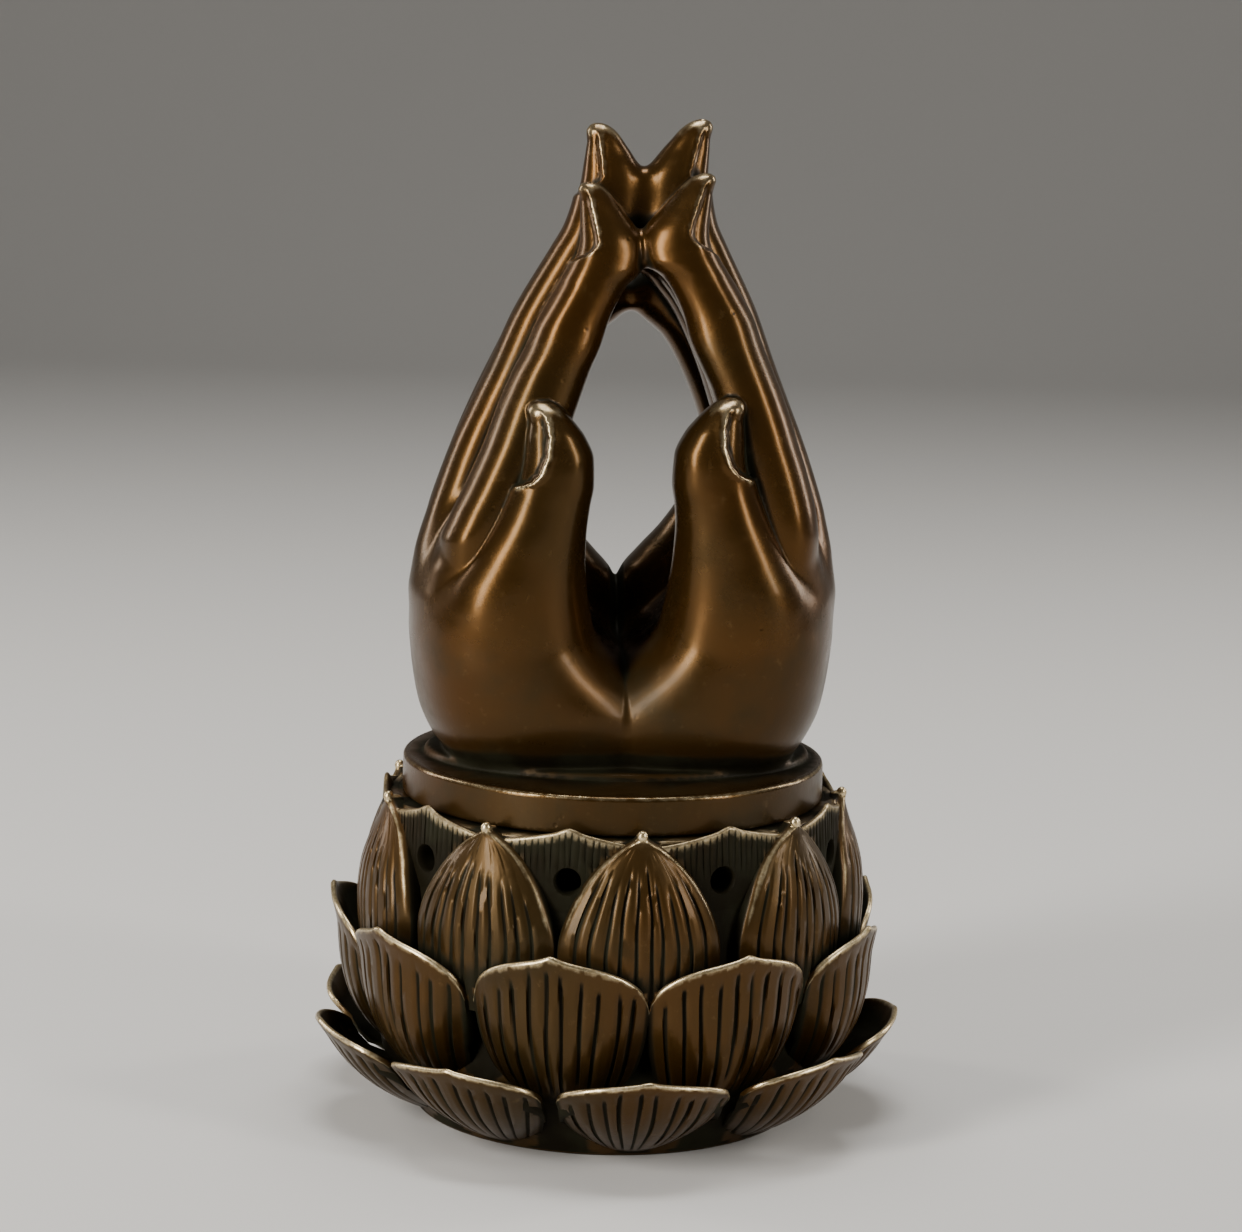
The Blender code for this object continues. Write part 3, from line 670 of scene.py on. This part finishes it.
def tall_petals(az0, zb, zt, half, drop, profile, veins, vein_w, vein_d, rows=26):
    """A row of tall leaves that narrow to a tip, where their veins run together."""
    verts, faces = [], []
    for k in range(PETALS):
        cols = vein_columns(veins, k + 77.0, math.radians(half) * 41.5, vein_w, 0.88)
        tip, off, grow = tall_place(k, zt, az0)
        rings = []
        for j in range(rows + 1):
            v = j / rows
            z = zb + (tip - zb) * (1 - (1 - v) ** 1.25)
            t = max(0.0, (z - 35.0) / (tip - 35.0))
            w = 1 - 0.66 * t ** 1.55 - 0.34 * t ** 6 if t > 0 else 1 - 0.05 * ((35.0 - z) / 10.0) ** 2
            w = max(w, 0.042)
            mid = math.radians(az0 + PITCH * k + off)
            R = profile(z) + grow
            ring, marks = [], []
            for u, dep, vein in cols:
                au = abs(u)
                end = 0.72 + 0.11 * jitter(vein, k, 12) - 0.16 * au
                g = dep * vein_d * step1(v, 0.0, 0.06) * (1 - step1(t, end - 0.22, end + 0.06)) * min(1.0, 1.5 * w)
                fall = drop * (0.6 * au ** 2 + 0.4 * au ** 6) * min(1.0, 0.25 + w)
                rim_mm = (1 - au) * w * math.radians(half) * R
                lift = 0.22 * math.exp(-((rim_mm - 0.55) / 0.5) ** 2) * step1(t, 0.0, 0.12)
                a = mid + math.radians(u * half * w) + 0.003 * dep * math.sin(0.6 * z + 1.7 * vein)
                ring.append(polar(R - fall - g + lift, a, z))
                # second value: dirt in the veins, and painted shade low on the petal, below z 35 behind the middle row
                marks.append((max(0.16 * (1 - min(1.0, dep)), 0.7 * math.exp(-((rim_mm - 0.4) / 0.45) ** 2) * step1(t, 0.0, 0.3),
                                  0.9 * step1(t, 0.94, 1.0)),
                              max(min(1.0, 1.6 * g / vein_d), 0.8 * (1 - step1(z, 29.0, 35.0)))))
            Re = R - drop * min(1.0, 0.25 + w)
            right, left = [], []
            for dr, da in ((0.15, 0.20), (0.55, 0.34), (1.2, 0.36)):
                ang = math.radians(half * w) + da / R
                right.append(polar(Re - dr, mid + ang, z))
                left.append(polar(Re - dr, mid - ang, z))
            ang = math.radians(half * w) * 0.97 + 0.15 / R
            right.append(polar(35.7, mid + ang, z))
            left.append(polar(35.7, mid - ang, z))
            # the sides step back into the gaps between petals, painted darker inward as shade
            extra = [(0.3 * step1(t, 0.0, 0.3), 0.5), (0.0, 0.8), (0.0, 1.0), (0.0, 1.0)]
            ring += right + left[::-1]
            marks += extra + extra[::-1]
            rings.append(ring)
            MARKS.extend((p, wr, q) for p, (wr, q) in zip(ring, marks))
        m = len(rings[-1])
        top = rings[-1]
        cx, cy, cz = sum(p[0] for p in top) / m, sum(p[1] for p in top) / m, top[0][2]
        for sc, dz in ((0.86, 0.3), (0.55, 0.5)):
            rings.append([(cx + (p[0] - cx) * sc, cy + (p[1] - cy) * sc, cz + dz) for p in top])
            MARKS.extend((p, 1.0, 0.0) for p in rings[-1])
        loft(rings, verts, faces)
    return verts, faces


def poly_object(name, verts, faces, index):
    me = bpy.data.meshes.new(name)
    me.from_pydata([(x * MM, y * MM, z * MM) for x, y, z in verts], [], faces)
    bm = bmesh.new()
    bm.from_mesh(me)
    if index == 0:
        bmesh.ops.recalc_face_normals(bm, faces=bm.faces)
    bmesh.ops.triangulate(bm, faces=[f for f in bm.faces if len(f.verts) > 4])
    bm.to_mesh(me)
    bm.free()
    for _ in range(6):
        me.materials.append(None)
    me.polygons.foreach_set("material_index", np.full(len(me.polygons), index, np.int32))
    return link(bpy.data.objects.new(name, me))


def turned(profile, steps, name, index):
    verts, faces = [], []
    n = len(profile)
    ring = {}
    for i, (r, z) in enumerate(profile):
        if r == 0.0:
            ring[i] = [len(verts)] * steps
            verts.append((0.0, 0.0, z))
        else:
            ring[i] = list(range(len(verts), len(verts) + steps))
            verts.extend(polar(r, 2 * math.pi * j / steps, z) for j in range(steps))
    for i in range(n - 1):
        a, b = ring[i], ring[i + 1]
        for j in range(steps):
            k = (j + 1) % steps
            f = [a[j], a[k], b[k], b[j]]
            g = []
            for v in f:
                if v not in g:
                    g.append(v)
            if len(g) > 2:
                faces.append(tuple(g))
    return poly_object(name, verts, faces, index)


def join_in(ob, other, how):
    m = ob.modifiers.new(how, "BOOLEAN")
    m.operation = how
    m.solver = "MANIFOLD"
    m.object = other
    me = evaluated(ob)
    ob.modifiers.clear()
    ob.data = me
    bpy.data.objects.remove(other, do_unlink=True)


def rounded(points, radius, steps=4):
    """A profile with its inner corners rounded."""
    out = [points[0]]
    for p, c, n in zip(points, points[1:], points[2:]):
        a = Vector((p[0] - c[0], p[1] - c[1]))
        b = Vector((n[0] - c[0], n[1] - c[1]))
        d = min(radius, a.length * 0.45, b.length * 0.45)
        if a.normalized().dot(b.normalized()) < -0.995 or d < 0.05:
            out.append(c)
            continue
        s, e = Vector(c) + a.normalized() * d, Vector(c) + b.normalized() * d
        for i in range(steps + 1):
            t = i / steps
            q = s * (1 - t) ** 2 + Vector(c) * 2 * t * (1 - t) + e * t * t
            out.append((q.x, q.y))
    out.append(points[-1])
    return out


def build_bowl():
    core = turned(rounded([
        (0.0, 5.0), (22.0, 5.0), (29.5, 7.6), (32.5, 15.0), (32.5, 40.0), (30.6, 47.6), (LEDGE_R, 49.6),
        (LEDGE_R, LEDGE_Z), (MOUTH_R, LEDGE_Z), (MOUTH_R, RIM_Z), (RIM_R, RIM_Z), (36.8, 47.0), (37.2, 41.0),
        (37.5, 36.5), (37.5, 32.0), (37.6, 28.6), (37.2, 25.0), (36.6, 20.0), (36.8, 15.4), (37.4, 12.0), (37.0, 9.0),
        (34.8, 5.6), (32.8, 2.6), (31.9, 0.9), (FOOT_R + 0.6, 0.12), (FOOT_R, 0.0), (0.0, 0.0)], 0.7), 144,
        "lotus_petals", 0)
    apart = (range(0, 8, 2), range(1, 8, 2), range(8, 9))      # petals that don't meet each other
    for which in apart:
        # the ring row lies under the plate, so it is painted dark all over as the plate's shade
        v, f = wide_petals(VENT_AZ, 40.5, 50.9, 53.7, 20.05, 0.35, PROFILE_RING, RING_SHAPE, WIDTH_RING, 24, 0.9, 2.0,
                           0.42, 0.17, rows=5, edge=0.985, back=0.8, stop=0.94, key=301.0, out=0.3, flare=0.1,
                           wobble=0.5, which=which, under_plate_shade=1.0, first=0.42)
        join_in(core, poly_object("ring", v, f, 1), "UNION")
    v, f = tall_petals(10.0, 24.0, 52.3, 18.4, 2.2, PROFILE_TALL, 10, 0.72, 0.45)
    join_in(core, poly_object("tall", v, f, 2), "UNION")
    v, f = tip_beads(10.0, 52.3, PROFILE_TALL)
    join_in(core, poly_object("beads", v, f, 2), "UNION")
    for which in apart:
        v, f = wide_petals(-11.0, 9.6, 25.8, 34.9, 19.7, 4.3, PROFILE_MID, RIM_SHAPE, WIDTH_MID, 10, 0.95, 6.0, 0.80, 0.58,
                           key=5.0, which=which)
        join_in(core, poly_object("mid", v, f, 3), "UNION")
    for which in apart:
        v, f = wide_petals(9.0, 0.5, 12.0, 16.9, 18.3, 4.6, PROFILE_LOW, RIM_SHAPE, WIDTH_LOW, 10, 0.95, 4.2, 0.80, 0.58,
                           key=9.0, out=1.5, back=2.0, which=which)
        join_in(core, poly_object("low", v, f, 4), "UNION")
    verts, faces = [], []
    for k in range(PETALS):
        az = math.radians(VENT_AZ + PITCH * k + (-2.2 if k == 1 else 1.2 * jitter(k, 9, 1)))
        d = Vector((math.sin(az), -math.cos(az), 0))
        t = Vector((math.cos(az), math.sin(az), 0))
        rings = []
        for r, rad in ((28.0, 1.0), (36.6, 1.0), (37.3, 1.04), (37.8, 1.2), (44.0, 2.6)):
            rings.append([tuple(d * r + t * (rad * VENT_D / 2 * math.cos(2 * math.pi * i / 28))
                                + Vector((0, 0, VENT_Z + rad * VENT_D / 2 * math.sin(2 * math.pi * i / 28))))
                          for i in range(28)])
        loft(rings, verts, faces)
        # the vent holes' walls are painted fully dark as the shade inside the holes
        MARKS.extend((p, 0.0, 1.0) for ring in rings for p in ring)
    join_in(core, poly_object("vents", verts, faces, 5), "DIFFERENCE")
    return core


def finish_bowl(ob):
    me = ob.data
    bm = bmesh.new()
    bm.from_mesh(me)
    left, islands = set(bm.verts), []
    while left:
        stack, island = [left.pop()], []
        while stack:
            v = stack.pop()
            island.append(v)
            for e in v.link_edges:
                w = e.other_vert(v)
                if w in left:
                    left.remove(w)
                    stack.append(w)
        islands.append(island)
    islands.sort(key=len)
    for island in islands[:-1]:                      # sealed pockets between petals and core
        bmesh.ops.delete(bm, geom=island, context="VERTS")
    bmesh.ops.triangulate(bm, faces=bm.faces)
    flaps = {}                                       # pairs of triangles laid face to face
    for f in bm.faces:
        flaps.setdefault(frozenset(f.verts), []).append(f)
    bmesh.ops.delete(bm, geom=[f for pair in flaps.values() if len(pair) == 2 for f in pair], context="FACES")
    for e in bm.edges:
        if len(e.link_faces) == 2:
            p, q = e.link_faces
            e.smooth = not (p.material_index != q.material_index or e.calc_face_angle(0.0) > math.radians(62))
    for f in bm.faces:
        f.smooth = True
        f.material_index = 0
    bad = sum(1 for e in bm.edges if len(e.link_faces) != 2)
    print("bowl triangles", len(bm.faces), "bad edges", bad, "pockets", len(islands) - 1)
    bm.to_mesh(me)
    bm.free()
    me.materials.clear()
    v = coords(me)
    tri = triangles(me)
    fn = np.cross(v[tri[:, 1]] - v[tri[:, 0]], v[tri[:, 2]] - v[tri[:, 0]])
    n = np.zeros_like(v)
    for i in range(3):
        np.add.at(n, tri[:, i], fn)
    n /= np.maximum(np.linalg.norm(n, axis=1), 1e-12)[:, None]
    # wear, and dirt with painted shade, of the nearest modelled place; places far from every mark, the turned core seen
    # in the valleys between rows, are painted fully dark as shade
    tree = KDTree(len(MARKS))
    for i, (p, _, _) in enumerate(MARKS):
        tree.insert(p, i)
    tree.balance()
    wear, dirt_and_shade = np.zeros(len(v)), np.zeros(len(v))
    for i in range(len(v)):
        _, j, dist = tree.find(v[i])
        if dist < 1.6:
            wear[i], dirt_and_shade[i] = MARKS[j][1], MARKS[j][2]
        else:
            dirt_and_shade[i] = 1.0
    # how shut in each place is
    bvh = BVHTree.FromPolygons(v.tolist(), tri.tolist())
    rs = np.random.RandomState(11)
    dirs = rs.normal(size=(9, 3))
    dirs /= np.linalg.norm(dirs, axis=1)[:, None]
    shade = np.zeros(len(v))
    for q in dirs:
        w = n + q * 0.85
        w /= np.linalg.norm(w, axis=1)[:, None]
        start = v + n * 0.15
        for i in range(len(v)):
            hit = bvh.ray_cast(start[i], w[i], 9.0)
            if hit[3] is not None:
                shade[i] += (1 - hit[3] / 9.0) / len(dirs)
    # painted shade: everything inside radius 34.9, in the valleys and behind the petals, is painted dark and unworn
    inside = (np.hypot(v[:, 0], v[:, 1]) < 34.9) & (v[:, 2] > 4.5) & (v[:, 2] < 51.6)
    wear[inside], dirt_and_shade[inside] = 0.0, 0.85
    under = v[:, 2] < 0.5
    wear[under], dirt_and_shade[under] = 0.1, 0.5
    store(me, "wear", np.clip(wear - 0.8 * shade, 0, 1))
    # painted shade: the more shut in a place is, the darker it is painted, on top of its dirt
    store(me, "dirt_and_shade", np.clip(dirt_and_shade * 0.95 + 1.15 * np.maximum(shade - 0.06, 0), 0, 1))
    return ob


# =============================================================================
# Bronze: brown patina, worn pale on ridges, olive-black in the hollows from dirt and painted shade
# =============================================================================
def bronze(name, brown, rough, metal):
    m = bpy.data.materials.new(name)
    m.use_nodes = True
    nt = m.node_tree
    N, L = nt.nodes, nt.links
    bsdf = N["Principled BSDF"]

    def math_(op, p, q=None, clamp=False):
        n = N.new("ShaderNodeMath")
        n.operation = op
        n.use_clamp = clamp
        for i, val in enumerate((p, q)):
            if val is None:
                continue
            if isinstance(val, (int, float)):
                n.inputs[i].default_value = val
            else:
                L.new(val, n.inputs[i])
        return n.outputs[0]

    def ramp(val, lo, hi):
        n = N.new("ShaderNodeMapRange")
        n.interpolation_type = "SMOOTHSTEP"
        n.inputs["From Min"].default_value = lo
        n.inputs["From Max"].default_value = hi
        L.new(val, n.inputs["Value"])
        return n.outputs["Result"]

    def mix(fac, p, q):
        n = N.new("ShaderNodeMix")
        n.data_type = "RGBA"
        L.new(fac, n.inputs[0])
        for val, s in ((p, n.inputs[6]), (q, n.inputs[7])):
            if isinstance(val, tuple):
                s.default_value = (*val, 1.0)
            else:
                L.new(val, s)
        return n.outputs[2]

    co = N.new("ShaderNodeTexCoord").outputs["Object"]

    def noise(scale, detail=4.0, roughness=0.55):
        n = N.new("ShaderNodeTexNoise")
        n.inputs["Scale"].default_value = scale
        n.inputs["Detail"].default_value = detail
        n.inputs["Roughness"].default_value = roughness
        L.new(co, n.inputs["Vector"])
        return n.outputs["Fac"]

    def attr(name_):
        n = N.new("ShaderNodeAttribute")
        n.attribute_name = name_
        return n.outputs["Fac"]

    broad, cloud, fine, grain = noise(26.0, 3.0), noise(95.0, 4.0), noise(520.0, 5.0, 0.65), noise(1900.0, 3.0, 0.7)

    # worn where the casting is handled, broken up by fine grain
    w = math_("ADD", attr("wear"), math_("MULTIPLY", math_("SUBTRACT", fine, 0.5), 0.5))
    w = math_("ADD", w, math_("MULTIPLY", math_("SUBTRACT", cloud, 0.5), 0.35))
    wear = ramp(w, 0.35, 0.95)
    d = math_("ADD", attr("dirt_and_shade"), math_("MULTIPLY", math_("SUBTRACT", cloud, 0.5), 0.35))
    dirt_and_shade = ramp(d, 0.18, 0.85)

    def shade_of(*factors):
        return tuple(p * q for p, q in zip(brown, factors))

    c = mix(ramp(broad, 0.36, 0.66), brown, shade_of(1.35, 1.10, 0.8))
    c = mix(math_("MULTIPLY", ramp(cloud, 0.48, 0.75), 0.55), c, shade_of(0.6, 0.70, 0.78))
    c = mix(math_("MULTIPLY", ramp(fine, 0.58, 0.8), 0.16), c, (0.30, 0.19, 0.08))
    # near-black olive for dirt and painted shade
    dark = mix(ramp(cloud, 0.42, 0.62), (0.009, 0.007, 0.003), (0.015, 0.014, 0.007))
    gold = mix(ramp(grain, 0.35, 0.7), (0.50, 0.38, 0.20), (0.76, 0.63, 0.40))
    c = mix(dirt_and_shade, c, dark)
    c = mix(wear, c, gold)
    L.new(c, bsdf.inputs["Base Color"])

    r = math_("ADD", math_("MULTIPLY", math_("SUBTRACT", cloud, 0.5), 0.16), rough)
    r = math_("ADD", r, math_("MULTIPLY", dirt_and_shade, 0.30))
    r = math_("SUBTRACT", r, math_("MULTIPLY", wear, 0.05))
    r = math_("ADD", r, math_("MULTIPLY", math_("SUBTRACT", fine, 0.5), 0.14), clamp=True)
    L.new(r, bsdf.inputs["Roughness"])
    metal_in = math_("MULTIPLY", math_("SUBTRACT", 1.0, math_("MULTIPLY", dirt_and_shade, 0.85)), metal)
    metal_in = math_("ADD", metal_in, math_("MULTIPLY", wear, 0.95 - metal), clamp=True)
    L.new(metal_in, bsdf.inputs["Metallic"])
    L.new(math_("SUBTRACT", 0.22, math_("MULTIPLY", dirt_and_shade, 0.16)), bsdf.inputs["Specular IOR Level"])
    L.new(math_("SUBTRACT", 0.08, math_("MULTIPLY", dirt_and_shade, 0.075)), bsdf.inputs["Coat Weight"])
    bsdf.inputs["Coat Roughness"].default_value = 0.13

    # casting pits and fine grain
    pits = N.new("ShaderNodeTexVoronoi")
    pits.inputs["Scale"].default_value = 330.0
    L.new(co, pits.inputs["Vector"])
    sparse = ramp(noise(75.0, 2.0), 0.55, 0.68)
    pit = math_("MULTIPLY", math_("SUBTRACT", 1.0, ramp(pits.outputs["Distance"], 0.04, 0.17)), sparse)
    height = math_("SUBTRACT", math_("ADD", math_("MULTIPLY", fine, 0.40), math_("MULTIPLY", grain, 0.15)), pit)
    height = math_("ADD", height, math_("MULTIPLY", cloud, 0.8))
    bump = N.new("ShaderNodeBump")
    bump.inputs["Strength"].default_value = 0.28
    bump.inputs["Distance"].default_value = 0.00018
    L.new(height, bump.inputs["Height"])
    L.new(bump.outputs["Normal"], bsdf.inputs["Normal"])
    return m


hands = build_hands()
hands.data.materials.clear()
hands.data.materials.append(bronze("hand_bronze", (0.055, 0.029, 0.0068), 0.26, 0.76))
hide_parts("hands_lid")
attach(hands, "root")

bowl = finish_bowl(build_bowl())
bowl.data.materials.append(bronze("petal_bronze", (0.050, 0.029, 0.0082), 0.36, 0.66))
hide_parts("lotus_bowl")
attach(bowl, "root")

# =============================================================================
# Floor, lights and camera
# =============================================================================
floor_mesh = bpy.data.meshes.new("studio_floor")
bm = bmesh.new()
path = [(-2.2, 0.0)] + [(1.3 + 0.9 * math.sin(t), 0.9 - 0.9 * math.cos(t)) for t in
                        [math.pi / 2 * i / 24 for i in range(25)]] + [(2.2, 2.6)]
cols = []
for x in (-2.6, 2.6):
    cols.append([bm.verts.new((x, y, z)) for y, z in path])
for i in range(len(path) - 1):
    bm.faces.new((cols[0][i], cols[1][i], cols[1][i + 1], cols[0][i + 1])).smooth = True
bm.to_mesh(floor_mesh)
bm.free()
floor = link(bpy.data.objects.new("studio_floor", floor_mesh))
fm = bpy.data.materials.new("pale_floor")
fm.use_nodes = True
fm.node_tree.nodes["Principled BSDF"].inputs["Base Color"].default_value = (0.62, 0.605, 0.58, 1)
fm.node_tree.nodes["Principled BSDF"].inputs["Roughness"].default_value = 0.75
floor_mesh.materials.append(fm)


def softbox(name, at, target, size, power, colour=(1, 1, 1)):
    li = bpy.data.lights.new(name, "AREA")
    li.shape = "RECTANGLE"
    li.size, li.size_y = size
    li.energy = power
    li.color = colour
    ob = link(bpy.data.objects.new(name, li))
    ob.location = at
    ob.rotation_euler = (Vector(target) - Vector(at)).to_track_quat("-Z", "Y").to_euler()
    return ob


softbox("key", (-0.62, -0.52, 0.37), (0, 0, 0.10), (0.17, 0.72), 9.5, (1.0, 0.97, 0.93))
softbox("fill", (0.78, -0.42, 0.40), (0, 0, 0.08), (0.13, 0.60), 4.2, (1.0, 0.97, 0.93))
softbox("top", (0.0, 0.15, 0.95), (0, 0, 0.08), (0.50, 0.30), 6.0)
softbox("rim_left", (-0.75, 0.35, 0.40), (0, 0, 0.1), (0.12, 0.6), 2.6, (1.0, 0.96, 0.90))
softbox("rim_right", (0.75, 0.40, 0.40), (0, 0, 0.1), (0.12, 0.6), 2.6, (1.0, 0.96, 0.90))
world = bpy.data.worlds.new("studio")
world.use_nodes = True
world.node_tree.nodes["Background"].inputs["Color"].default_value = (0.90, 0.89, 0.86, 1)
world.node_tree.nodes["Background"].inputs["Strength"].default_value = 0.14
bpy.context.scene.world = world

PITCH_DOWN, ROLL = math.asin(0.1633), math.radians(1.5)
DIST = 0.540
cam = bpy.data.cameras.new("camera")
cam.sensor_fit = "HORIZONTAL"
cam.sensor_width = 36.0
cam.lens = 36.0 * 3323.0 / 1242.0
cam.clip_start, cam.clip_end = 0.02, 20.0
cam_ob = link(bpy.data.objects.new("camera", cam))
forward = Vector((0, math.cos(PITCH_DOWN), -math.sin(PITCH_DOWN)))
right0, up0 = Vector((1, 0, 0)), Vector((0, math.sin(PITCH_DOWN), math.cos(PITCH_DOWN)))
right = right0 * math.cos(ROLL) + up0 * math.sin(ROLL)
up = up0 * math.cos(ROLL) - right0 * math.sin(ROLL)
place = Vector((0.0007, 0, 0.0808)) - forward * DIST
cam_ob.matrix_world = Matrix(((right.x, up.x, -forward.x, place.x), (right.y, up.y, -forward.y, place.y),
                              (right.z, up.z, -forward.z, place.z), (0, 0, 0, 1)))
bpy.context.scene.camera = cam_ob
